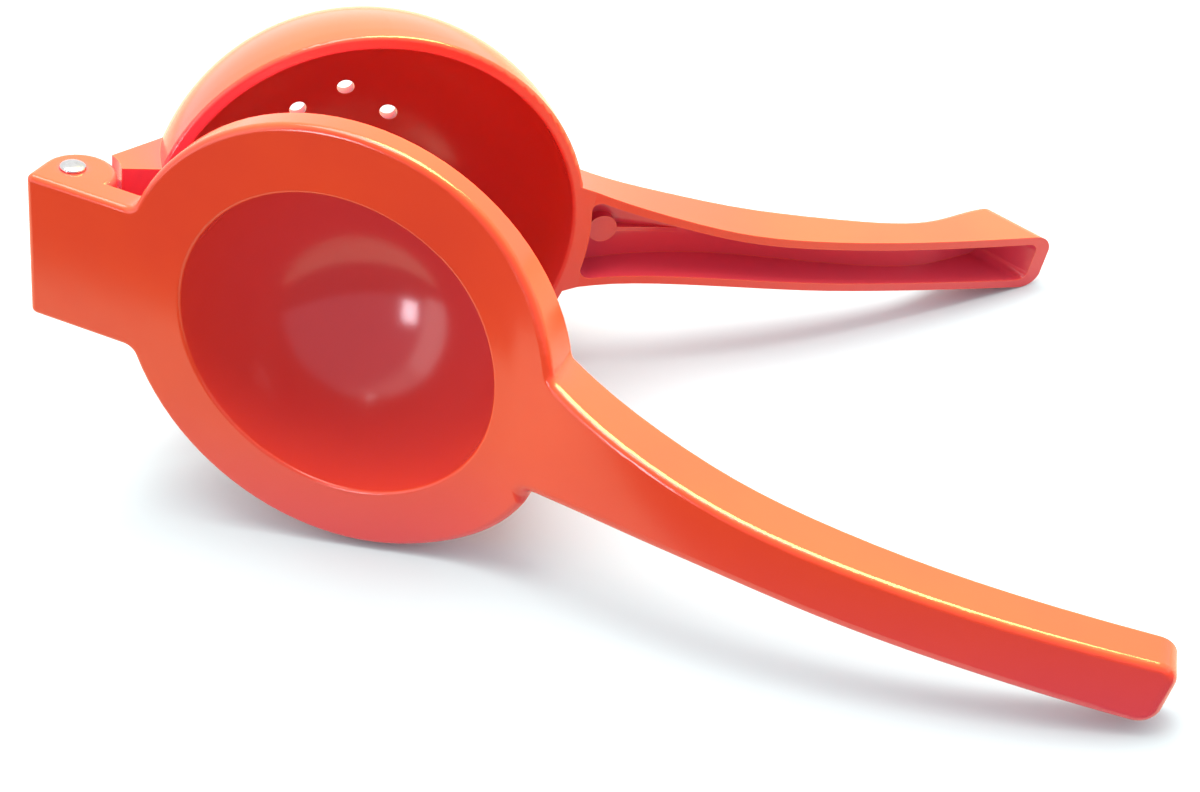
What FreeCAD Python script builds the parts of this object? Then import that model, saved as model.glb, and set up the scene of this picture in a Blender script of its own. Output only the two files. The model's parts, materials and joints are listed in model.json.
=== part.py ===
import FreeCAD, Part
import math
import os

Vector = FreeCAD.Vector

# A hinged citrus squeezer: two die-cast levers and the pin that joins them.
# Both levers are drawn shut. The hinge axis is Z through the origin, X runs
# along the levers to the handle ends, and Y points into the cup. "lift" is
# the height above the parting plane on the press side, so lift = -Y.
# Millimetres and degrees.

# Cup: a deep bowl with a straight skirt, a round bottom and a ring of juice holes
CUP_REACH = 64.8
CUP_R = 50.0
CUP_WALL = 3.0
CUP_SKIRT = 4.0
RIM_ROUND = 0.9
HOLE_R = 2.15
HOLE_RING_R = 13.0
HOLE_COUNT = 6

# Press: a plate that covers the rim, with a hollow plunger under it
PLATE_INSET = 0.4
PLATE_GAP = 2.0
PLATE_THICK = 5.8
PLUNGER_GAP = 8.6
PLUNGER_DEPTH = 34.0
PLUNGER_WALL = 3.2
HOLLOW_ROUND = 0.8

# Rounding of the press lever's outer edges, slight on the plate and full on the handle
PLATE_ROUND = 1.4
GRIP_ROUND = 2.8

# Hinge: the press has two ears, the cup lever has a tongue between them
BLOCK_HALF = 17.3
KNUCKLE_R = 7.8
KNUCKLE_ALONG = 1.5
KNUCKLE_LIFT = 0.4
CORNER_ROUND = 1.5
EAR_THICK = 6.0
BLOCK_BLEND = 3.0
TONGUE_R = 5.2
SLOT_GAP = 0.35
SHOULDER_GAP = 0.4
ARM_BACK = 5.6
ARM_SLOPE = 37.0

# Pin: a rivet with a low domed head at each end
PIN_R = 2.0
PIN_RUNNING = 0.05
PIN_SEAT = 0.02
HEAD_R = 2.7
HEAD_RISE = 1.1

# Handles: half widths seen from above, first past the rim, then short of the end
HANDLE_LENGTH = 123.2
PLAN_PAST_RIM = ((-3.8, 14.9), (5.7, 12.1), (21.7, 9.2), (37.7, 7.55), (57.2, 7.1))
PLAN_FROM_END = ((33.0, 7.2), (0.0, 7.7))
END_ROUND = 4.5
HANDLE_WALL = 2.2
HANDLE_FLOOR = 2.4
CHANNEL_ROUND = 2.2
NECK_WALL = 1.6
NECK_BLEND = 2.0

# Press handle seen from the side: lift of its outer and its inner line
RISE_BEFORE_RIM = 30.8
PRESS_OUTER_PAST_RIM = ((-10.8, 10.7), (-0.8, 15.0), (13.7, 20.5), (37.7, 26.5))
PRESS_OUTER_FROM_END = ((46.0, 29.6), (0.0, 26.0))
PRESS_INNER_PAST_RIM = ((-1.8, 3.2), (13.7, 8.6), (37.7, 15.1))
PRESS_INNER_FROM_END = ((54.0, 19.4), (30.0, 19.6), (0.0, 17.4))

# Cup handle seen from the side: its inner line, then its outer line to the flared lip
CUP_INNER_PAST_RIM = ((1.2, 0.0), (13.7, 2.8), (37.7, 8.8))
CUP_INNER_FROM_END = ((46.0, 11.5), (0.0, 8.9))
CUP_OUTER_PAST_RIM = ((-8.8, -12.0), (5.7, -10.4), (21.7, -8.5), (45.2, -3.9))
CUP_OUTER_FROM_END = ((54.0, 0.2), (32.0, 0.3), (14.0, -5.6))
LIP_FROM_END = 9.5
LIP_LIFT = -6.2

# Ejector boss and its rib in the cup handle's channel
BOSS_PAST_RIM = 6.6
BOSS_R = 3.6
BOSS_LIFT = -5.4
RIB_THICK = 1.2
RIB_LENGTH = 19.6

# Resting pose: the levers lie open on a table, like a V on its side
OPEN_ANGLE = 33.7

TALL = 4 * CUP_R
RIM_END = CUP_REACH + CUP_R
HANDLE_END = RIM_END + HANDLE_LENGTH
CUP_DEPTH = CUP_R + CUP_SKIRT
PLATE_R = CUP_R - PLATE_INSET
PLATE_FACE = PLATE_GAP + PLATE_THICK
PLUNGER_R = CUP_R - CUP_WALL - PLUNGER_GAP
EAR_INSIDE = BLOCK_HALF - EAR_THICK
TONGUE_HALF = EAR_INSIDE - SLOT_GAP
SLOT_R = TONGUE_R + SLOT_GAP
EAR_REACH = math.hypot(KNUCKLE_ALONG, KNUCKLE_LIFT) + KNUCKLE_R
EAR_BACK = KNUCKLE_ALONG - KNUCKLE_R
SHOULDER_R = EAR_REACH + SHOULDER_GAP


def at(along, lift, z=0.0):
    """A point given by its distance from the hinge and its lift on the press side."""
    return Vector(along, -lift, z)


def stations(past_rim, from_end):
    """Pairs given by their distance past the cup's rim, then short of the handle's end."""
    return [(RIM_END + a, b) for a, b in past_rim] + [(HANDLE_END - a, b) for a, b in from_end]


def line(*points):
    """Straight edges through the points."""
    return [Part.makeLine(a, b) for a, b in zip(points, points[1:])]


def curve(points, start=None):
    """One smooth edge through the points, leaving the first in a set direction where given."""
    spline = Part.BSplineCurve()
    if start is None:
        spline.interpolate(points)
    else:
        tangents = [start] + [Vector()] * (len(points) - 1)
        flags = [True] + [False] * (len(points) - 1)
        spline.interpolate(Points=points, Tangents=tangents, TangentFlags=flags)
    return spline.toShape()


def side_curve(pairs, start=None):
    """One smooth edge of the side view through pairs of distance and lift."""
    return curve([at(*pair) for pair in pairs], start)


def face(edges):
    """A flat face inside a closed run of edges."""
    return Part.Face(Part.Wire(Part.__sortEdges__(edges)))


def slab(edges, half):
    """A side outline given thickness along the hinge axis."""
    body = face(edges).extrude(Vector(0, 0, 2 * half))
    body.translate(Vector(0, 0, -half))
    return body


def drop(edges):
    """A plan outline given depth across the parting plane."""
    body = face(edges).extrude(Vector(0, TALL, 0))
    body.translate(Vector(0, -TALL / 2, 0))
    return body


def disc(radius, low, high):
    """A round block on the cup's axis, from Y = low to Y = high."""
    return Part.makeCylinder(radius, high - low, Vector(CUP_REACH, low, 0), Vector(0, 1, 0))


def dome(radius, top, pole):
    """A round-bottomed solid on the cup's axis: a straight skirt from Y = top, then half a ball."""
    centre = Vector(CUP_REACH, pole - radius, 0)
    ball = Part.makeSphere(radius, centre, Vector(0, 1, 0), 0, 90)
    return disc(radius, top, pole - radius).fuse(ball).removeSplitter()


def middle(edge):
    """The point halfway along an edge."""
    return edge.valueAt((edge.FirstParameter + edge.LastParameter) / 2)


def pick(shape, test):
    """The edges of a shape whose middle point passes the test."""
    return [edge for edge in shape.Edges if edge.Length > 1e-6 and test(middle(edge))]


def on_ring(point, radius):
    """Whether a point lies on a round wall about the cup's axis."""
    return abs(math.hypot(point.x - CUP_REACH, point.z) - radius) < 0.01


def on_line(point, guide):
    """Whether a point lies on a wall that stands on a line of the side view."""
    return Part.Vertex(Vector(point.x, point.y, 0)).distToShape(guide)[0] < 0.01


def rounded(body, pairs):
    """The body with edges rounded, each with a radius at its near and at its far end."""
    sheet = FreeCAD.newDocument()
    base = sheet.addObject("Part::Feature", "base")
    base.Shape = body
    fillet = sheet.addObject("Part::Fillet", "fillet")
    fillet.Base = base
    rows = []
    for number, edge in enumerate(body.Edges, 1):
        for chosen, near, far in pairs:
            if edge.isSame(chosen):
                ahead = edge.Vertexes[0].X <= edge.Vertexes[-1].X
                rows.append((number, near, far) if ahead else (number, far, near))
    fillet.Edges = rows
    sheet.recompute()
    shape = fillet.Shape.copy()
    FreeCAD.closeDocument(sheet.Name)
    return shape.Solids[0]


def handle_plan(inset=0.0):
    """A handle seen from above, with its sides drawn in by an inset."""
    pairs = stations(PLAN_PAST_RIM, PLAN_FROM_END)
    upper = [Vector(along, 0, half - inset) for along, half in pairs]
    lower = [Vector(point.x, 0, -point.z) for point in upper]
    return drop([curve(upper), curve(lower)] + line(upper[0], lower[0]) + line(upper[-1], lower[-1]))


def handle_blank(outline, end, inset=0.0):
    """A handle cut to its plan and side outline, with rounded corners along its end line."""
    body = slab(outline, TALL / 2).common(handle_plan(inset)).removeSplitter().Solids[0]
    corners = pick(body, lambda p: on_line(p, end) and abs(p.z) > END_ROUND)
    return body.makeFillet(END_ROUND - inset, corners)


def channel(floor, mouth_lift, end):
    """The hollow of a handle, from its floor line to its mouth, stopped by a wall round the cup."""
    first, last = floor.valueAt(floor.FirstParameter), end.valueAt(end.LastParameter)
    outline = [floor, end] + line(last, at(last.x, mouth_lift), at(first.x, mouth_lift), first)
    hollow = handle_blank(outline, end, HANDLE_WALL)
    neck = CUP_R + NECK_WALL
    hollow = hollow.cut(disc(neck, -TALL, TALL)).removeSplitter().Solids[0]
    corners = pick(hollow, lambda p: on_ring(p, neck) and abs(p.z) > CHANNEL_ROUND)
    return hollow.makeFillet(CHANNEL_ROUND, [edge for edge in corners if edge.BoundBox.ZLength < 1])


def press_lines():
    """Outer and inner lines of the press lever's rise and handle, seen from the side."""
    start = (RIM_END - RISE_BEFORE_RIM, PLATE_FACE)
    outer = side_curve([start] + stations(PRESS_OUTER_PAST_RIM, PRESS_OUTER_FROM_END), Vector(1, 0, 0))
    return outer, side_curve(stations(PRESS_INNER_PAST_RIM, PRESS_INNER_FROM_END))


def press_side():
    """Side outline of the press lever: hinge block, flat plate, rising neck and handle."""
    outer, inner = press_lines()
    tip = line(outer.valueAt(outer.LastParameter), inner.valueAt(inner.LastParameter))
    corner_centre = (EAR_BACK + CORNER_ROUND, PLATE_FACE - CORNER_ROUND)
    bend = CORNER_ROUND * math.sqrt(0.5)
    below, beside = at(EAR_BACK, corner_centre[1]), at(corner_centre[0], PLATE_FACE)
    corner = Part.Arc(below, at(corner_centre[0] - bend, corner_centre[1] + bend), beside).toShape()
    back = line(inner.valueAt(inner.FirstParameter), at(RIM_END - CUP_WALL, PLATE_GAP), at(KNUCKLE_ALONG, PLATE_GAP),
                at(KNUCKLE_ALONG, KNUCKLE_LIFT), at(EAR_BACK, KNUCKLE_LIFT), below)
    return [outer, inner, corner] + tip + back + line(beside, outer.valueAt(outer.FirstParameter))


def press_plan():
    """Block, plate and handle seen from above, with small blends where they meet."""
    block = Part.makeBox(TALL, TALL, 2 * BLOCK_HALF, Vector(CUP_REACH - TALL, -TALL / 2, -BLOCK_HALF))
    plan = disc(PLATE_R, -TALL / 2, TALL / 2).fuse([handle_plan(), block]).removeSplitter()
    ends = pick(plan, lambda p: p.x > HANDLE_END - 0.01 and abs(p.z) > END_ROUND)
    plan = plan.makeFillet(END_ROUND, [edge for edge in ends if edge.BoundBox.ZLength < 1])
    for side, blend in ((-1, BLOCK_BLEND), (1, NECK_BLEND)):
        corners = pick(plan, lambda p: on_ring(p, PLATE_R) and (p.x - CUP_REACH) * side > CUP_R / 2)
        plan = plan.makeFillet(blend, [edge for edge in corners if edge.BoundBox.ZLength < 1])
    return plan


def round_outside(body):
    """The press blank with its outer edges rounded, more on the handle than on the plate."""
    outer = press_lines()[0]
    rise_start, grip_start = RIM_END - RISE_BEFORE_RIM, RIM_END - 1
    flat = pick(body, lambda p: abs(p.y + PLATE_FACE) < 0.01 and CUP_WALL < p.x < rise_start - 0.1)
    flat += pick(body, lambda p: p.x < KNUCKLE_ALONG and p.y < -KNUCKLE_LIFT - 1 and abs(p.z) > BLOCK_HALF - 0.01)
    side = pick(body, lambda p: p.x > rise_start + 0.1 and on_line(p, outer))
    pairs = [(edge, PLATE_ROUND, PLATE_ROUND) for edge in flat]
    for edge in side:
        grip = GRIP_ROUND if edge.BoundBox.XMax > grip_start else PLATE_ROUND
        near = grip if edge.BoundBox.XMin > grip_start else PLATE_ROUND
        pairs.append((edge, near, grip))
    return rounded(body, pairs)


def hinge_slot():
    """The space between the ears, open behind and round the tongue's swing."""
    tall = 2 * EAR_INSIDE
    eye = Part.makeCylinder(SLOT_R, tall, Vector(0, 0, -EAR_INSIDE))
    back = Part.makeBox(EAR_REACH, SLOT_R + EAR_REACH, tall, Vector(-EAR_REACH, -SLOT_R, -EAR_INSIDE))
    side = Part.makeBox(EAR_REACH, PLATE_GAP + EAR_REACH, tall, Vector(0, -PLATE_GAP, -EAR_INSIDE))
    return eye.fuse([back, side])


def plunger():
    """The domed plunger, and the hollow that leaves its wall."""
    rise = PLUNGER_DEPTH + PLATE_GAP
    ball = (PLUNGER_R ** 2 + rise ** 2) / (2 * rise)
    centre = Vector(CUP_REACH, PLUNGER_DEPTH - ball, 0)
    behind_face = disc(2 * PLUNGER_R, -PLATE_FACE / 2 - PLATE_GAP / 2, PLUNGER_DEPTH)
    solid = Part.makeSphere(ball, centre).common(behind_face)
    return solid, dome(ball - PLUNGER_WALL, -PLATE_FACE - PLUNGER_R, PLUNGER_DEPTH - PLUNGER_WALL)


def press_lever():
    """Plate, plunger, hinge ears and handle in one casting."""
    solid, hollow = plunger()
    blank = round_outside(slab(press_side(), TALL / 2).common(press_plan()).removeSplitter().Solids[0])
    body = blank.fuse(solid).removeSplitter().cut(hollow).Solids[0]
    mouth = pick(body, lambda p: p.y < -PLATE_FACE + 0.01 and math.hypot(p.x - CUP_REACH, p.z) < PLUNGER_R)
    body = body.makeFillet(HOLLOW_ROUND, mouth)
    knuckle = Part.makeCylinder(KNUCKLE_R, 2 * BLOCK_HALF, at(KNUCKLE_ALONG, KNUCKLE_LIFT, -BLOCK_HALF))
    knuckle = knuckle.makeFillet(PLATE_ROUND, pick(knuckle, lambda p: abs(p.z) > BLOCK_HALF - 0.01))
    bore = Part.makeCylinder(PIN_R + PIN_SEAT, TALL, Vector(0, 0, -TALL / 2))
    return body.cut(press_channel()).fuse(knuckle).cut(hinge_slot()).cut(bore).Solids[0]


def press_channel():
    """The hollow under the press handle, open towards the cup handle."""
    pairs = stations(PRESS_OUTER_PAST_RIM[1:], PRESS_OUTER_FROM_END[:-1])
    pairs.append((HANDLE_END - HANDLE_WALL, PRESS_OUTER_FROM_END[-1][1]))
    floor = side_curve([(along, lift - HANDLE_FLOOR) for along, lift in pairs])
    top = floor.valueAt(floor.LastParameter)
    end = Part.makeLine(top, at(top.x, -CUP_R / 2))
    return channel(floor, -CUP_R, end)


def cup_lines(raised=0.0, drawn=0.0):
    """Outer line and slanted end line of the cup handle, raised and drawn in where asked."""
    tip_lift = CUP_INNER_FROM_END[-1][1]
    slant = drawn * math.hypot(LIP_FROM_END, tip_lift - LIP_LIFT) / (tip_lift - LIP_LIFT)
    pairs = stations(CUP_OUTER_PAST_RIM, CUP_OUTER_FROM_END)
    lip = (HANDLE_END - LIP_FROM_END - slant, LIP_LIFT)
    outer = side_curve([(along, lift + raised) for along, lift in pairs + [lip]])
    return outer, Part.makeLine(outer.valueAt(outer.LastParameter), at(HANDLE_END - slant, tip_lift + raised))


def cup_handle():
    """The cup lever's handle, a shallow channel with a flared end."""
    outer, end = cup_lines()
    inner = side_curve(stations(CUP_INNER_PAST_RIM, CUP_INNER_FROM_END))
    root = outer.valueAt(outer.FirstParameter)
    closing = line(inner.valueAt(inner.FirstParameter), Vector(root.x, 0, 0), root)
    body = handle_blank([outer, end, inner] + closing, end)
    return body.makeFillet(PLATE_ROUND, pick(body, lambda p: p.x > root.x + CUP_WALL and on_line(p, outer)))


def cup_channel():
    """The hollow of the cup handle, open towards the press handle."""
    floor, end = cup_lines(HANDLE_FLOOR, HANDLE_WALL)
    return channel(floor, CUP_R, end)


def boss_and_rib():
    """A round boss on the channel floor and the low rib that runs out from it."""
    deep = BOSS_LIFT - CUP_OUTER_PAST_RIM[0][1] - HANDLE_FLOOR / 2
    centre = at(RIM_END + BOSS_PAST_RIM, BOSS_LIFT)
    boss = Part.makeCylinder(BOSS_R, deep, centre, Vector(0, 1, 0))
    rib = Part.makeBox(RIB_LENGTH, deep, RIB_THICK, centre - Vector(0, 0, RIB_THICK / 2))
    return boss.fuse(rib).common(cup_handle())


def hinge_arm():
    """The cup lever's hinge arm: a block with a hollow shoulder, and the tongue in front of it."""
    near = math.sqrt(SHOULDER_R ** 2 - ARM_BACK ** 2)
    far = CUP_REACH - math.sqrt(CUP_R ** 2 - BLOCK_HALF ** 2) + 2 * CUP_WALL
    low = -ARM_BACK - (far - near) * math.tan(math.radians(ARM_SLOPE))
    halfway = math.asin(ARM_BACK / SHOULDER_R) / 2
    bend = at(SHOULDER_R * math.cos(halfway), -SHOULDER_R * math.sin(halfway))
    shoulder = Part.Arc(at(near, -ARM_BACK), bend, at(SHOULDER_R, 0)).toShape()
    arm = slab([shoulder] + line(at(SHOULDER_R, 0), at(far, 0), at(far, low), at(near, -ARM_BACK)), BLOCK_HALF)
    neck = slab(line(at(0, 0), at(SHOULDER_R + 1, 0), at(SHOULDER_R + 1, -ARM_BACK), at(0, -TONGUE_R), at(0, 0)),
                TONGUE_HALF)
    eye = Part.makeCylinder(TONGUE_R, 2 * TONGUE_HALF, Vector(0, 0, -TONGUE_HALF))
    return arm.fuse([neck, eye])


def juice_holes():
    """One hole in the middle of the bowl and a ring of holes round it."""
    holes = [Part.makeCylinder(HOLE_R, TALL, Vector(CUP_REACH, 0, 0), Vector(0, 1, 0))]
    for index in range(HOLE_COUNT):
        turn = 2 * math.pi * index / HOLE_COUNT
        centre = Vector(CUP_REACH + HOLE_RING_R * math.sin(turn), 0, HOLE_RING_R * math.cos(turn))
        holes.append(Part.makeCylinder(HOLE_R, TALL, centre, Vector(0, 1, 0)))
    return holes


def cup_lever():
    """Bowl, hinge arm and handle in one casting."""
    bowl = dome(CUP_R, 0, CUP_DEPTH)
    bowl = bowl.makeFillet(RIM_ROUND, pick(bowl, lambda p: on_ring(p, CUP_R) and abs(p.y) < 0.01))
    handle = cup_handle().cut(cup_channel()).fuse(boss_and_rib())
    inside = dome(CUP_R - CUP_WALL, -CUP_R, CUP_DEPTH - CUP_WALL)
    body = bowl.fuse([handle, hinge_arm()]).cut(inside).removeSplitter().Solids[0]
    body = body.makeFillet(RIM_ROUND, pick(body, lambda p: on_ring(p, CUP_R - CUP_WALL) and abs(p.y) < 0.01))
    bore = Part.makeCylinder(PIN_R + PIN_RUNNING, TALL, Vector(0, 0, -TALL / 2))
    return body.cut(juice_holes() + [bore]).removeSplitter().Solids[0]


def hinge_pin():
    """A rivet with a low domed head on each ear."""
    ball = (HEAD_R ** 2 + HEAD_RISE ** 2) / (2 * HEAD_RISE)
    top = BLOCK_HALF + HEAD_RISE
    reach = Part.makeSphere(ball, Vector(0, 0, top - ball)).common(
        Part.makeCylinder(ball, HEAD_RISE, Vector(0, 0, BLOCK_HALF)))
    other = reach.mirror(Vector(), Vector(0, 0, 1))
    shank = Part.makeCylinder(PIN_R, 2 * BLOCK_HALF, Vector(0, 0, -BLOCK_HALF))
    return shank.fuse([reach, other]).removeSplitter().Solids[0]


def lean():
    """How far the open levers lean on a table, with both rims and both handle tips touching it."""
    turn = math.radians(OPEN_ANGLE / 2)
    reach = (HANDLE_END - END_ROUND - CUP_REACH) * math.cos(turn)
    half = PLAN_FROM_END[-1][1] - END_ROUND
    angle = 0.0
    for _ in range(6):
        fall = (CUP_R - END_ROUND) * math.sqrt(1 - (math.sin(angle) * math.sin(turn)) ** 2)
        angle = math.asin(fall / math.hypot(reach, half)) - math.atan2(half, reach)
    return math.degrees(angle)


def lay_down(fixed, moving):
    """Open the moving pieces, lay everything on its side and stand it on the origin."""
    hinge_axis = Vector(0, 0, 1)
    for piece in moving:
        piece.rotate(Vector(), hinge_axis, -OPEN_ANGLE)
    everything = fixed + moving
    angle = lean()
    for piece in everything:
        piece.rotate(Vector(), hinge_axis, OPEN_ANGLE / 2)
        piece.rotate(Vector(), Vector(0, 1, 0), angle)
    box = Part.makeCompound(everything).optimalBoundingBox(False)
    hinge = Vector(-box.Center.x, -box.Center.y, -box.ZMin)
    for piece in everything:
        piece.translate(hinge)
    axis = FreeCAD.Rotation(Vector(0, 1, 0), angle).multVec(hinge_axis)
    print("hinge in metres:", [round(value / 1000, 7) for value in hinge])
    print("hinge axis that opens:", [round(-value, 7) for value in axis])


def main():
    """Build each piece, lay the squeezer down and write one file for each piece."""
    press, cup, pin = press_lever(), cup_lever(), hinge_pin()
    lay_down([cup], [press, pin])
    os.makedirs("parts", exist_ok=True)
    for name, piece in (("press_lever", press), ("cup_lever", cup), ("hinge_pin", pin)):
        piece.exportStep(f"parts/{name}.step")


if __name__ == "__main__":
    main()
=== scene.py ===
"""Dresses the hinged citrus squeezer: glossy orange-red enamel on two cast levers, and a polished rivet."""

import json
import logging
import math
from dataclasses import dataclass

import bmesh
import bpy
from mathutils import Matrix, Vector

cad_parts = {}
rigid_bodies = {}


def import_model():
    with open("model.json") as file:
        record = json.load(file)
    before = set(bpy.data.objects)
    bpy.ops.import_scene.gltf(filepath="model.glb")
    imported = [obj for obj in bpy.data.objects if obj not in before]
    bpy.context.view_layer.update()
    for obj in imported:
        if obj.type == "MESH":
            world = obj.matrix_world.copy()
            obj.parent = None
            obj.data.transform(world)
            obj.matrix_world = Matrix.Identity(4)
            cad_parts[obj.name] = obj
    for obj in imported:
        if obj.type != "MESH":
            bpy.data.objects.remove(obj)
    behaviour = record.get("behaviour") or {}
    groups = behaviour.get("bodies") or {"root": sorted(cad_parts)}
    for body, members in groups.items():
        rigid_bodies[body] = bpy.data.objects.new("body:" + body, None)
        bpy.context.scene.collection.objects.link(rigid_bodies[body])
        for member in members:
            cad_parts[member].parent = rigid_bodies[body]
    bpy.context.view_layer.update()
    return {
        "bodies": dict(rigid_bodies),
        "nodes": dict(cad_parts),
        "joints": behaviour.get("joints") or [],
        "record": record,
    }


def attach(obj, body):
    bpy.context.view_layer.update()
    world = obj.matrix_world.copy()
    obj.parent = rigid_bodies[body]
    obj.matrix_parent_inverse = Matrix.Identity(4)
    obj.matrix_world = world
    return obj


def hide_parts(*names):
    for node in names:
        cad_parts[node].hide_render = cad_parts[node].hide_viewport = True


LOG = logging.getLogger("squeezer")
MM = 0.001


def select_only(piece: bpy.types.Object) -> None:
    """Make one object the only selected and active one.

    Args:
        piece: The object to select.
    """
    bpy.ops.object.select_all(action="DESELECT")
    piece.select_set(True)
    bpy.context.view_layer.objects.active = piece


def add_socket(group: bpy.types.NodeTree, name: str, kind: str, output: bool, value: float | None = None) -> None:
    """Add a named input or output to a shader node group.

    Args:
        group: The node group.
        name: The socket's name.
        kind: Its type, such as NodeSocketFloat.
        output: True for an output, False for an input.
        value: The start value of an input, where it has one.
    """
    socket = group.interface.new_socket(name=name, in_out="OUTPUT" if output else "INPUT", socket_type=kind)
    if value is not None:
        socket.default_value = value


def math_node(tree: bpy.types.NodeTree, operation: str, first: bpy.types.NodeSocket | float,
              second: bpy.types.NodeSocket | float) -> bpy.types.NodeSocket:
    """Add a Math node with each input linked or set.

    Args:
        tree: The node tree.
        operation: The Math operation.
        first: A socket to link or a number.
        second: A socket to link or a number.

    Returns:
        The node's output.
    """
    node = tree.nodes.new("ShaderNodeMath")
    node.operation = operation
    for slot, source in zip(node.inputs, (first, second)):
        if isinstance(source, bpy.types.NodeSocket):
            tree.links.new(source, slot)
        else:
            slot.default_value = source
    return node.outputs[0]


class SprayTexture:
    """The shared group for sprayed and baked coats: a fine dimpled skin and a slow drift of shade."""

    NAME = "spray_texture"
    SKIN_SCALE = 420.0
    DRIFT_SCALE = 26.0
    RIPPLE_TO_SKIN = 0.22
    SKIN_SHARE = 0.35

    @classmethod
    def group(cls) -> bpy.types.NodeTree:
        """Build the group once, and return it each time after that.

        Returns:
            The shader node group, with outputs Height and Drift.
        """
        if cls.NAME in bpy.data.node_groups:
            return bpy.data.node_groups[cls.NAME]
        tree = bpy.data.node_groups.new(cls.NAME, "ShaderNodeTree")
        add_socket(tree, "Skin Scale", "NodeSocketFloat", False, cls.SKIN_SCALE)
        add_socket(tree, "Drift Scale", "NodeSocketFloat", False, cls.DRIFT_SCALE)
        add_socket(tree, "Height", "NodeSocketFloat", True)
        add_socket(tree, "Drift", "NodeSocketFloat", True)
        start, end = tree.nodes.new("NodeGroupInput"), tree.nodes.new("NodeGroupOutput")
        place = tree.nodes.new("ShaderNodeTexCoord").outputs["Object"]
        skin = cls.noise(tree, place, start.outputs["Skin Scale"], 1.5)
        ripple_scale = math_node(tree, "MULTIPLY", start.outputs["Skin Scale"], cls.RIPPLE_TO_SKIN)
        ripple = cls.noise(tree, place, ripple_scale, 1.0)
        height = math_node(tree, "ADD", math_node(tree, "MULTIPLY", skin, cls.SKIN_SHARE), ripple)
        tree.links.new(height, end.inputs["Height"])
        drift = cls.noise(tree, place, start.outputs["Drift Scale"], 3.0)
        tree.links.new(drift, end.inputs["Drift"])
        return tree

    @staticmethod
    def noise(tree: bpy.types.NodeTree, place: bpy.types.NodeSocket, scale: bpy.types.NodeSocket,
              detail: float) -> bpy.types.NodeSocket:
        """Add a soft noise read at a place.

        Args:
            tree: The node tree.
            place: The coordinates.
            scale: The number of spots in a metre.
            detail: How many finer layers it has.

        Returns:
            The noise value, about 0.5 on average.
        """
        node = tree.nodes.new("ShaderNodeTexNoise")
        node.inputs["Detail"].default_value = detail
        tree.links.new(place, node.inputs["Vector"])
        tree.links.new(scale, node.inputs["Scale"])
        return node.outputs["Fac"]


class EdgeHighlightAndHollowShade:
    """The shared group that finds sharp edges, where a painted highlight goes, and hollows and corners, where a
    painted shade goes.
    """

    NAME = "coat_depth"
    EDGE_REACH = 0.6 * MM
    EDGE_GAIN = 6.0
    HOLLOW_REACH = 40.0 * MM
    SAMPLES = 4

    @classmethod
    def group(cls) -> bpy.types.NodeTree:
        """Build the group once, and return it each time after that.

        Returns:
            The shader node group, with the outputs Edge, the mask for a painted highlight, and Hollow, the mask
            for a painted shade.
        """
        if cls.NAME in bpy.data.node_groups:
            return bpy.data.node_groups[cls.NAME]
        tree = bpy.data.node_groups.new(cls.NAME, "ShaderNodeTree")
        add_socket(tree, "Reach", "NodeSocketFloat", False, cls.EDGE_REACH)
        add_socket(tree, "Gain", "NodeSocketFloat", False, cls.EDGE_GAIN)
        add_socket(tree, "Hollow Reach", "NodeSocketFloat", False, cls.HOLLOW_REACH)
        add_socket(tree, "Edge", "NodeSocketFloat", True)
        add_socket(tree, "Hollow", "NodeSocketFloat", True)
        start, end = tree.nodes.new("NodeGroupInput"), tree.nodes.new("NodeGroupOutput")
        # Edge mask, for the painted highlight: how far the softened normal turns from the true one.
        soft = tree.nodes.new("ShaderNodeBevel")
        soft.samples = cls.SAMPLES
        tree.links.new(start.outputs["Reach"], soft.inputs["Radius"])
        true_normal = tree.nodes.new("ShaderNodeNewGeometry").outputs["Normal"]
        turn = tree.nodes.new("ShaderNodeVectorMath")
        turn.operation = "DOT_PRODUCT"
        tree.links.new(soft.outputs["Normal"], turn.inputs[0])
        tree.links.new(true_normal, turn.inputs[1])
        bend = math_node(tree, "SUBTRACT", 1.0, turn.outputs["Value"])
        mask = math_node(tree, "MINIMUM", math_node(tree, "MULTIPLY", bend, start.outputs["Gain"]), 1.0)
        tree.links.new(mask, end.inputs["Edge"])
        # Hollow mask, for the painted shade: how much the nearby surface shelters each point.
        shelter = tree.nodes.new("ShaderNodeAmbientOcclusion")
        shelter.samples = cls.SAMPLES
        tree.links.new(start.outputs["Hollow Reach"], shelter.inputs["Distance"])
        tree.links.new(math_node(tree, "SUBTRACT", 1.0, shelter.outputs["AO"]), end.inputs["Hollow"])
        return tree


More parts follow.
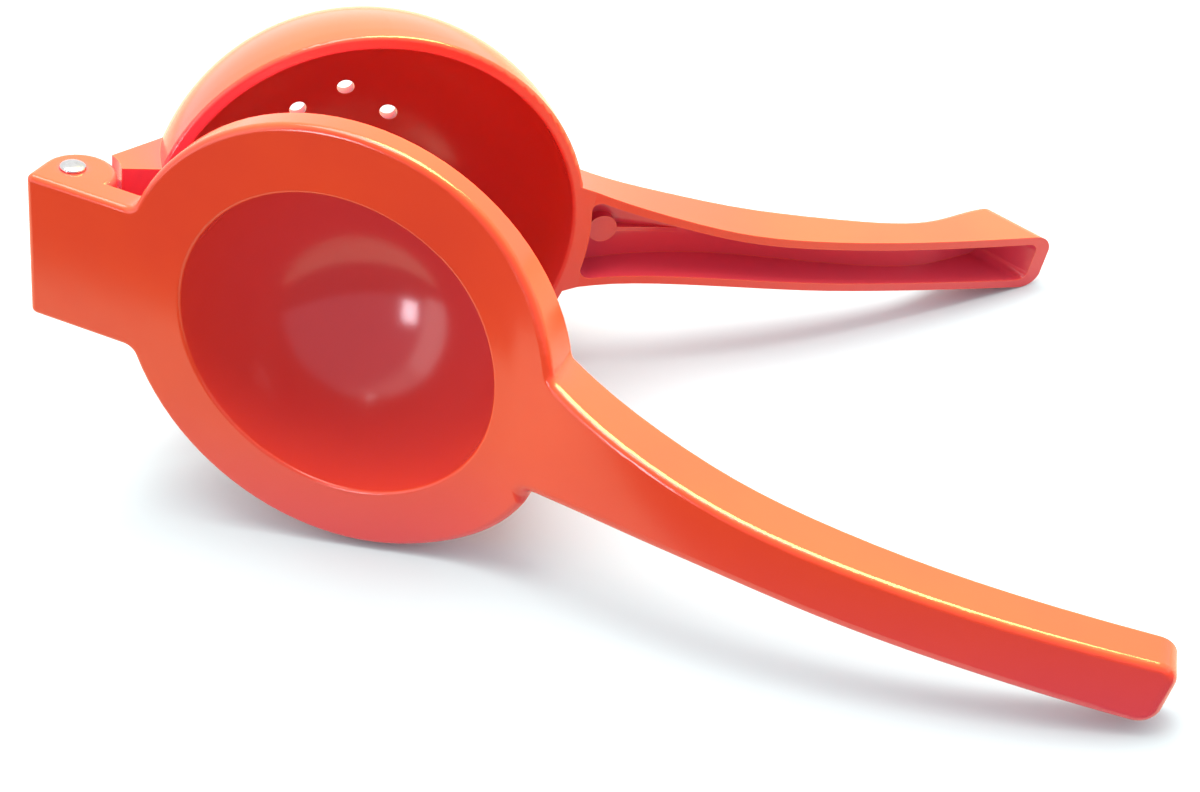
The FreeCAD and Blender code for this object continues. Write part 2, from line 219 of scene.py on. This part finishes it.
@dataclass(frozen=True)
class Enamel:
    """A glossy baked coat with a dimpled skin, a slow drift of shade, a painted highlight on sharp edges and a
    painted cool shade in hollows.
    """

    name: str = "enamel"
    colour: tuple[float, float, float] = (0.72, 0.056, 0.012)
    deep_colour: tuple[float, float, float] = (0.68, 0.046, 0.012)
    # Painted highlight: a lighter orange laid over sharp edges.
    edge_highlight_colour: tuple[float, float, float] = (0.86, 0.135, 0.040)
    # Painted shade: a cool crimson laid in hollows and corners, where shade falls; the gain below sets how
    # strongly.
    hollow_shade_colour: tuple[float, float, float] = (0.70, 0.066, 0.115)
    hollow_shade_gain: float = 1.4
    edge_highlight_share: float = 0.5
    roughness: float = 0.14
    roughness_drift: float = 0.06
    skin_depth: float = 0.02 * MM
    skin_strength: float = 0.6
    edge_reach: float = 0.5 * MM

    def material(self) -> bpy.types.Material:
        """Build the coat as a material.

        Returns:
            The new material.
        """
        material = bpy.data.materials.new(self.name)
        material.use_nodes = True
        tree = material.node_tree
        shader = tree.nodes["Principled BSDF"]
        shader.inputs["IOR"].default_value = 1.5
        shader.inputs["Coat Weight"].default_value = 0.0
        spray = tree.nodes.new("ShaderNodeGroup")
        spray.node_tree = SprayTexture.group()
        depth = tree.nodes.new("ShaderNodeGroup")
        depth.node_tree = EdgeHighlightAndHollowShade.group()
        depth.inputs["Reach"].default_value = self.edge_reach
        body = self.mix(tree, spray.outputs["Drift"], self.colour, self.deep_colour)
        # Painted shade: a cool crimson laid where the hollow mask finds hollows and corners.
        hollow_shade = math_node(tree, "MULTIPLY", depth.outputs["Hollow"], self.hollow_shade_gain)
        body = self.cover(tree, hollow_shade, body, self.hollow_shade_colour)
        # Painted highlight: a lighter orange laid where the edge mask finds sharp edges.
        edge_highlight = math_node(tree, "MULTIPLY", depth.outputs["Edge"], self.edge_highlight_share)
        body = self.cover(tree, edge_highlight, body, self.edge_highlight_colour)
        tree.links.new(body, shader.inputs["Base Color"])
        rough = math_node(tree, "MULTIPLY_ADD", spray.outputs["Drift"], self.roughness_drift)
        rough.node.inputs[2].default_value = self.roughness
        tree.links.new(rough, shader.inputs["Roughness"])
        bump = tree.nodes.new("ShaderNodeBump")
        bump.inputs["Strength"].default_value = self.skin_strength
        bump.inputs["Distance"].default_value = self.skin_depth
        tree.links.new(spray.outputs["Height"], bump.inputs["Height"])
        tree.links.new(bump.outputs["Normal"], shader.inputs["Normal"])
        return material

    @staticmethod
    def cover(tree: bpy.types.NodeTree, factor: bpy.types.NodeSocket, under: bpy.types.NodeSocket,
              colour: tuple[float, float, float]) -> bpy.types.NodeSocket:
        """Lay a colour over another where a mask says so.

        Args:
            tree: The node tree.
            factor: The mask, 0 to 1.
            under: The colour below.
            colour: The colour laid over it.

        Returns:
            The blended colour.
        """
        node = tree.nodes.new("ShaderNodeMix")
        node.data_type = "RGBA"
        tree.links.new(factor, node.inputs["Factor"])
        tree.links.new(under, node.inputs[6])
        node.inputs[7].default_value = (*colour, 1.0)
        return node.outputs[2]

    @staticmethod
    def mix(tree: bpy.types.NodeTree, factor: bpy.types.NodeSocket, low: tuple[float, float, float],
            high: tuple[float, float, float]) -> bpy.types.NodeSocket:
        """Blend two colours by a noise value.

        Args:
            tree: The node tree.
            factor: The value that blends, the low colour under 0.35 and the high one over 0.65.
            low: The colour at low values.
            high: The colour at high values.

        Returns:
            The blended colour.
        """
        ramp = tree.nodes.new("ShaderNodeValToRGB")
        ramp.color_ramp.elements[0].position, ramp.color_ramp.elements[1].position = 0.35, 0.65
        ramp.color_ramp.elements[0].color = (*low, 1.0)
        ramp.color_ramp.elements[1].color = (*high, 1.0)
        tree.links.new(factor, ramp.inputs["Fac"])
        return ramp.outputs["Color"]


@dataclass(frozen=True)
class BrightSteel:
    """Bright steel with fine handling marks and a slow drift of shade."""

    name: str = "pin_steel"
    colour: tuple[float, float, float] = (0.46, 0.46, 0.47)
    drift_darkening: float = 0.82
    roughness: float = 0.1
    roughness_drift: float = 0.2
    mark_depth: float = 0.004 * MM
    mark_scale: float = 2400.0
    drift_scale: float = 600.0

    def material(self) -> bpy.types.Material:
        """Build the steel as a material.

        Returns:
            The new material.
        """
        material = bpy.data.materials.new(self.name)
        material.use_nodes = True
        tree = material.node_tree
        shader = tree.nodes["Principled BSDF"]
        shader.inputs["Metallic"].default_value = 1.0
        spray = tree.nodes.new("ShaderNodeGroup")
        spray.node_tree = SprayTexture.group()
        spray.inputs["Skin Scale"].default_value = self.mark_scale
        spray.inputs["Drift Scale"].default_value = self.drift_scale
        darker = tuple(self.drift_darkening * part for part in self.colour)
        tint = Enamel.mix(tree, spray.outputs["Drift"], self.colour, darker)
        tree.links.new(tint, shader.inputs["Base Color"])
        rough = math_node(tree, "MULTIPLY_ADD", spray.outputs["Drift"], self.roughness_drift)
        rough.node.inputs[2].default_value = self.roughness
        tree.links.new(rough, shader.inputs["Roughness"])
        bump = tree.nodes.new("ShaderNodeBump")
        bump.inputs["Distance"].default_value = self.mark_depth
        tree.links.new(spray.outputs["Height"], bump.inputs["Height"])
        tree.links.new(bump.outputs["Normal"], shader.inputs["Normal"])
        return material


@dataclass(frozen=True)
class TableTop:
    """The matt white floor, with one tone for the camera, one in reflections and one for bounced light."""

    name: str = "studio_floor"
    bounce: float = 0.5
    seen: tuple[float, float, float] = (0.575, 0.66, 0.655)
    mirrored: tuple[float, float, float] = (0.75, 0.73, 0.50)

    def material(self) -> bpy.types.Material:
        """Build the floor's surface.

        Returns:
            The new material.
        """
        material = bpy.data.materials.new(self.name)
        material.use_nodes = True
        tree = material.node_tree
        shader = tree.nodes["Principled BSDF"]
        shader.inputs["Roughness"].default_value = 1.0
        shader.inputs["Specular IOR Level"].default_value = 0.0
        path = tree.nodes.new("ShaderNodeLightPath")
        tone = tree.nodes.new("ShaderNodeMix")
        tone.data_type = "RGBA"
        tree.links.new(path.outputs["Is Glossy Ray"], tone.inputs["Factor"])
        tone.inputs[6].default_value = (self.bounce, self.bounce, self.bounce, 1.0)
        tone.inputs[7].default_value = (*self.mirrored, 1.0)
        shown = Enamel.cover(tree, path.outputs["Is Camera Ray"], tone.outputs[2], self.seen)
        tree.links.new(shown, shader.inputs["Base Color"])
        return material


@dataclass(frozen=True)
class GlowCard:
    """A card round the table that only reflections see: bright, or nearly black."""

    name: str
    place: tuple[float, float, float]
    width: float
    height: float
    glow: float
    facing: tuple[float, float, float] = (0.0, 0.0, 0.05)
    tint: tuple[float, float, float] = (1.0, 1.0, 1.0)

    def build(self) -> None:
        """Hang the card so that it faces its target."""
        bpy.ops.mesh.primitive_plane_add(size=1.0)
        card = bpy.context.object
        card.name = self.name
        turn = (Vector(self.facing) - Vector(self.place)).to_track_quat("Z", "Y").to_matrix().to_4x4()
        size = Matrix.Diagonal((self.width, self.height, 1.0, 1.0))
        card.data.transform(Matrix.Translation(self.place) @ turn @ size)
        material = bpy.data.materials.new(self.name)
        material.use_nodes = True
        tree = material.node_tree
        tree.nodes.remove(tree.nodes["Principled BSDF"])
        light = tree.nodes.new("ShaderNodeEmission")
        light.inputs["Color"].default_value = (*self.tint, 1.0)
        light.inputs["Strength"].default_value = self.glow
        tree.links.new(light.outputs["Emission"], tree.nodes["Material Output"].inputs["Surface"])
        card.data.materials.append(material)
        card.visible_camera = card.visible_diffuse = card.visible_shadow = card.visible_transmission = False


ENAMEL = Enamel()
PIN_STEEL = BrightSteel()
FLOOR = TableTop()
CARDS = (
    GlowCard("dark_card", (0.0, -2.085, 0.0002), 4.0, 4.0, 0.1, facing=(0.0, -2.085, 1.0)),
    GlowCard("left_card", (-0.56, -0.29, 0.17), 0.20, 0.70, 2.6),
    GlowCard("window_card", (-0.42, -0.46, 0.14), 0.11, 0.15, 20.0, tint=(0.9, 0.9, 1.0)),
    GlowCard("spark_card", (0.0, -0.13, 0.74), 0.10, 0.10, 25.0),
)


@dataclass
class PressCasting:
    """The press lever's casting, with its block dressed flat and its round walls made smooth."""

    block_half: float = 17.3 * MM
    edge_round: float = 1.4 * MM
    block_reach: float = 12.0 * MM
    ball_along: float = 64.8 * MM
    ball_lift: float = 4.48 * MM
    hollow_radius: float = 35.28 * MM
    plunger_radius: float = 38.48 * MM
    merge_gap: float = 0.0002 * MM
    level_slack: float = 0.001 * MM
    round_slack: float = 0.02 * MM

    def build(self, frame: dict, enamel: bpy.types.Material) -> bpy.types.Object:
        """Copy the CAD lever, finish the copy and let it stand for the lever.

        Args:
            frame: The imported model.
            enamel: The coat.

        Returns:
            The new piece.
        """
        node = frame["nodes"]["press_lever"]
        casting = bpy.data.objects.new("press_casting", node.data.copy())
        bpy.context.scene.collection.objects.link(casting)
        self.merge(casting)
        self.dress(casting.data, frame["record"])
        casting.data.materials.clear()
        casting.data.materials.append(enamel)
        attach(casting, "press")
        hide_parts("press_lever")
        LOG.info("press_casting: %d faces", len(casting.data.polygons))
        return casting

    def merge(self, casting: bpy.types.Object) -> None:
        """Join the copy's loose triangles, and keep the direction of each corner on the mesh.

        Args:
            casting: The casting.
        """
        kept = casting.data.attributes.new("corner_way", "FLOAT_VECTOR", "CORNER")
        kept.data.foreach_set("vector", [part for corner in casting.data.corner_normals for part in corner.vector])
        select_only(casting)
        bpy.ops.object.mode_set(mode="EDIT")
        bpy.ops.mesh.select_all(action="SELECT")
        bpy.ops.mesh.remove_doubles(threshold=self.merge_gap)
        bpy.ops.object.mode_set(mode="OBJECT")

    def dress(self, mesh: bpy.types.Mesh, record: dict) -> None:
        """Dress the hinge block level with the plate's face, and turn corners true on the round walls.

        Args:
            mesh: The casting's mesh.
            record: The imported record, for the hinge's and the face's places.
        """
        hinge, flat = record["behaviour"]["joints"][0], record["mounts"][0]
        pivot, axle = Vector(hinge["pos_m"]), Vector(hinge["axis"]).normalized()
        level, outward = Vector(flat["pos_m"]), Vector(flat["axis"]).normalized()
        along = outward.cross(axle)
        if along.x < 0.0:
            along.negate()
        ways, moved = {}, set()
        for vertex in mesh.vertices:
            arm = vertex.co - pivot
            side = arm.dot(axle)
            past = max(0.0, min(abs(side) - self.block_half + self.edge_round, self.edge_round))
            rest = math.sqrt(self.edge_round ** 2 - past ** 2)
            proud = (vertex.co - level).dot(outward) + self.edge_round - rest
            if proud > -self.level_slack and arm.dot(along) < self.block_reach:
                ways[vertex.index] = (rest * outward + math.copysign(past, side) * axle).normalized()
                if proud > self.level_slack:
                    vertex.co -= proud * outward
                    moved.add(vertex.index)
        mesh.update()
        corners = [Vector(value.vector) for value in mesh.attributes["corner_way"].data]
        ball = pivot + self.ball_along * along + self.ball_lift * outward
        for face in mesh.polygons:
            dressed = face.normal.dot(outward) > 0.3 and not moved.isdisjoint(face.vertices)
            for loop in face.loop_indices:
                index = mesh.loops[loop].vertex_index
                if dressed and index in ways:
                    corners[loop] = ways[index]
                    continue
                spoke = mesh.vertices[index].co - ball
                for radius, sign in ((self.hollow_radius, -1.0), (self.plunger_radius, 1.0)):
                    true_way = sign * spoke.normalized()
                    if abs(spoke.length - radius) < self.round_slack and face.normal.dot(true_way) > 0.9:
                        corners[loop] = true_way
        mesh.normals_split_custom_set(corners)
        mesh.attributes.remove(mesh.attributes["corner_way"])


@dataclass
class HingePin:
    """The rivet that joins the levers: a shank with a groove and a domed head at each end."""

    shank_radius: float = 2.0 * MM
    half_length: float = 17.3 * MM
    groove_radius: float = 2.25 * MM
    groove_rise: float = 0.14 * MM
    head_radius: float = 2.7 * MM
    head_edge: float = 0.22 * MM
    head_rise: float = 1.1 * MM
    flat_radius: float = 0.55 * MM
    dome_steps: int = 7
    edge_bevel: float = 0.07 * MM
    merge_gap: float = 0.001 * MM
    sides: int = 96

    def build(self, frame: dict, steel: bpy.types.Material) -> bpy.types.Object:
        """Model the rivet, put it on the hinge and let it stand for the CAD pin.

        Args:
            frame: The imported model.
            steel: The rivet's material.

        Returns:
            The new piece.
        """
        bpy.ops.object.select_all(action="DESELECT")
        bpy.ops.mesh.primitive_cylinder_add(vertices=self.sides, radius=self.shank_radius, depth=self.half_length,
                                            location=(0.0, 0.0, self.half_length / 2))
        rivet = bpy.context.object
        rivet.name = "rivet"
        bpy.ops.object.transform_apply(location=True, rotation=True, scale=True)
        self.open_middle(rivet)
        self.shape_head(rivet)
        self.mirror_and_soften(rivet)
        hinge = frame["record"]["behaviour"]["joints"][0]
        turn = Vector((0.0, 0.0, 1.0)).rotation_difference(Vector(hinge["axis"])).to_matrix().to_4x4()
        rivet.data.transform(Matrix.Translation(hinge["pos_m"]) @ turn)
        rivet.data.materials.append(steel)
        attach(rivet, "press")
        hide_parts("hinge_pin")
        LOG.info("rivet: %d faces", len(rivet.data.polygons))
        return rivet

    def pick_cap(self, rivet: bpy.types.Object, upper: bool) -> None:
        """Select the flat cap at one end, in edit mode.

        Args:
            rivet: The rivet.
            upper: True for the upper cap, False for the lower one.
        """
        bpy.ops.mesh.select_mode(type="FACE")
        bpy.ops.mesh.select_all(action="DESELECT")
        mesh = bmesh.from_edit_mesh(rivet.data)
        for face in mesh.faces:
            high = face.calc_center_median().z > self.half_length / 2
            face.select_set(abs(face.normal.z) > 0.9 and high == upper)
        bmesh.update_edit_mesh(rivet.data)

    def open_middle(self, rivet: bpy.types.Object) -> None:
        """Take away the cap at the rivet's middle, where its two halves meet.

        Args:
            rivet: The rivet's upper half.
        """
        select_only(rivet)
        bpy.ops.object.mode_set(mode="EDIT")
        self.pick_cap(rivet, False)
        bpy.ops.mesh.delete(type="FACE")
        bpy.ops.object.mode_set(mode="OBJECT")

    def shape_head(self, rivet: bpy.types.Object) -> None:
        """Extrude the cap into a narrow groove, a straight edge and a dome.

        Args:
            rivet: The rivet's upper half.
        """
        rows = [(0.0, self.groove_radius), (self.groove_rise, self.groove_radius), (0.0, self.head_radius),
                (self.head_edge, self.head_radius)]
        dome = self.head_rise - self.groove_rise - self.head_edge
        last = math.acos(self.flat_radius / self.head_radius)
        heights = [dome * math.sin(last * step / self.dome_steps) / math.sin(last)
                   for step in range(self.dome_steps + 1)]
        for step in range(1, self.dome_steps + 1):
            radius = self.head_radius * math.cos(last * step / self.dome_steps)
            rows.append((heights[step] - heights[step - 1], radius))
        bpy.ops.object.mode_set(mode="EDIT")
        self.pick_cap(rivet, True)
        before = self.shank_radius
        for rise, radius in rows:
            bpy.ops.mesh.extrude_region_move(TRANSFORM_OT_translate={"value": (0.0, 0.0, rise)})
            scale = radius / before
            bpy.ops.transform.resize(value=(scale, scale, 1.0), center_override=(0.0, 0.0, 0.0))
            before = radius
        bpy.ops.mesh.select_all(action="SELECT")
        bpy.ops.mesh.remove_doubles(threshold=self.merge_gap)
        bpy.ops.object.mode_set(mode="OBJECT")

    def mirror_and_soften(self, rivet: bpy.types.Object) -> None:
        """Mirror the half across the rivet's middle and round its sharp edges.

        Args:
            rivet: The rivet's upper half.
        """
        mirror = rivet.modifiers.new("mirror", "MIRROR")
        mirror.use_axis = (False, False, True)
        mirror.merge_threshold = self.merge_gap
        bevel = rivet.modifiers.new("bevel", "BEVEL")
        bevel.width = self.edge_bevel
        bevel.segments = 3
        bevel.limit_method = "ANGLE"
        bevel.angle_limit = math.radians(40.0)
        for name in ("mirror", "bevel"):
            bpy.ops.object.modifier_apply(modifier=name)
        bpy.ops.object.mode_set(mode="EDIT")
        bpy.ops.mesh.select_all(action="SELECT")
        bpy.ops.mesh.normals_make_consistent(inside=False)
        bpy.ops.object.mode_set(mode="OBJECT")
        bpy.ops.object.shade_smooth_by_angle(angle=math.radians(35.0))


@dataclass
class Studio:
    """The pale floor, the white tent with its opening for the camera, and the camera itself."""

    camera_place: tuple[float, float, float] = (0.02635, -0.28368, 0.23248)
    camera_turn: float = 4.504
    camera_down: float = 36.236
    camera_roll: float = -6.107
    lens: float = 47.94
    floor_size: float = 6.0
    floor_drop: float = 0.2 * MM
    tent_light: float = 1.65
    tent_colour: tuple[float, float, float] = (1.0, 1.0, 1.0)
    opening_light: float = 0.85
    opening_colour: tuple[float, float, float] = (0.88, 0.88, 1.05)
    opening_azimuth: float = 172.0
    opening_height: float = 12.0
    opening_half: float = 50.0
    opening_blend: float = 12.0
    soft_place: tuple[float, float, float] = (-0.05, 0.10, 1.1)
    soft_size: float = 0.7
    soft_power: float = 12.0
    warm_place: tuple[float, float, float] = (0.35, 0.30, 0.85)
    warm_size: float = 0.5
    warm_power: float = 34.0
    warm_colour: tuple[float, float, float] = (0.86, 0.80, 0.24)

    def build(self, dressed: list[bpy.types.Object]) -> None:
        """Make the floor, the lights and the camera.

        Args:
            dressed: The squeezer's own pieces.
        """
        self.floor()
        self.tent()
        self.lights(dressed)
        self.camera()
        LOG.info("studio: floor, cards, tent, lights and camera")

    def floor(self) -> None:
        """Lay the pale floor under the squeezer, and hang the cards round it."""
        bpy.ops.mesh.primitive_plane_add(size=self.floor_size, location=(0.0, 0.0, -self.floor_drop))
        floor = bpy.context.object
        floor.name = "studio_floor"
        floor.data.materials.append(FLOOR.material())
        for card in CARDS:
            card.build()

    def tent(self) -> None:
        """Surround the squeezer with a white tent that is dark where the camera looks in."""
        world = bpy.data.worlds.new("studio_tent")
        bpy.context.scene.world = world
        world.use_nodes = True
        tree = world.node_tree
        azimuth, height = math.radians(self.opening_azimuth), math.radians(self.opening_height)
        toward = (math.sin(azimuth) * math.cos(height), math.cos(azimuth) * math.cos(height), math.sin(height))
        turn = tree.nodes.new("ShaderNodeVectorMath")
        turn.operation = "DOT_PRODUCT"
        tree.links.new(tree.nodes.new("ShaderNodeTexCoord").outputs["Generated"], turn.inputs[0])
        turn.inputs[1].default_value = toward
        opening = tree.nodes.new("ShaderNodeMapRange")
        opening.interpolation_type = "SMOOTHSTEP"
        opening.inputs["From Min"].default_value = math.cos(math.radians(self.opening_half + self.opening_blend))
        opening.inputs["From Max"].default_value = math.cos(math.radians(self.opening_half))
        tree.links.new(turn.outputs["Value"], opening.inputs["Value"])
        tone = tree.nodes.new("ShaderNodeMix")
        tone.data_type = "RGBA"
        tree.links.new(opening.outputs["Result"], tone.inputs["Factor"])
        tone.inputs[6].default_value = (*(self.tent_light * part for part in self.tent_colour), 1.0)
        tone.inputs[7].default_value = (*(self.opening_light * part for part in self.opening_colour), 1.0)
        tree.links.new(tone.outputs[2], tree.nodes["Background"].inputs["Color"])

    def lamp(self, name: str, place: tuple[float, float, float], size: float, power: float) -> bpy.types.Object:
        """Hang one soft box that faces the squeezer.

        Args:
            name: The lamp's name.
            place: Where it hangs.
            size: Its width.
            power: Its power in watts.

        Returns:
            The new lamp.
        """
        data = bpy.data.lights.new(name, "AREA")
        data.shape = "SQUARE"
        data.size = size
        data.energy = power
        lamp = bpy.data.objects.new(name, data)
        bpy.context.scene.collection.objects.link(lamp)
        lamp.location = place
        lamp.rotation_euler = (-Vector(place)).to_track_quat("-Z", "Y").to_euler()
        return lamp

    def lights(self, dressed: list[bpy.types.Object]) -> None:
        """Hang a soft box over the table, and a warm one that lights the squeezer alone.

        Args:
            dressed: The squeezer's own pieces.
        """
        self.lamp("soft_light", self.soft_place, self.soft_size, self.soft_power)
        warm = self.lamp("warm_light", self.warm_place, self.warm_size, self.warm_power)
        warm.data.color = self.warm_colour
        lit = bpy.data.collections.new("lit_by_warm_light")
        for piece in dressed:
            lit.objects.link(piece)
        warm.light_linking.receiver_collection = lit

    def camera(self) -> None:
        """Set the camera where the photograph was taken from."""
        data = bpy.data.cameras.new("photo_camera")
        data.lens = self.lens
        data.sensor_width = 36.0
        data.clip_start = 0.01
        camera = bpy.data.objects.new("photo_camera", data)
        bpy.context.scene.collection.objects.link(camera)
        turn = Matrix.Rotation(math.radians(self.camera_turn), 4, "Z")
        tilt = Matrix.Rotation(math.radians(90.0 - self.camera_down), 4, "X")
        roll = Matrix.Rotation(math.radians(self.camera_roll), 4, "Z")
        camera.matrix_world = Matrix.Translation(self.camera_place) @ turn @ tilt @ roll
        bpy.context.scene.camera = camera
        bpy.context.scene.view_settings.view_transform = "Standard"


def main() -> None:
    """Dress the squeezer and set up the studio."""
    logging.basicConfig(level=logging.INFO, format="%(name)s: %(message)s")
    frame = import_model()
    enamel, steel = ENAMEL.material(), PIN_STEEL.material()
    cup = frame["nodes"]["cup_lever"]
    for slot in cup.material_slots:
        slot.material = enamel
    LOG.info("cup_lever: %d faces", len(cup.data.polygons))
    press = PressCasting().build(frame, enamel)
    rivet = HingePin().build(frame, steel)
    Studio().build([cup, press, rivet])


if __name__ == "__main__":
    main()
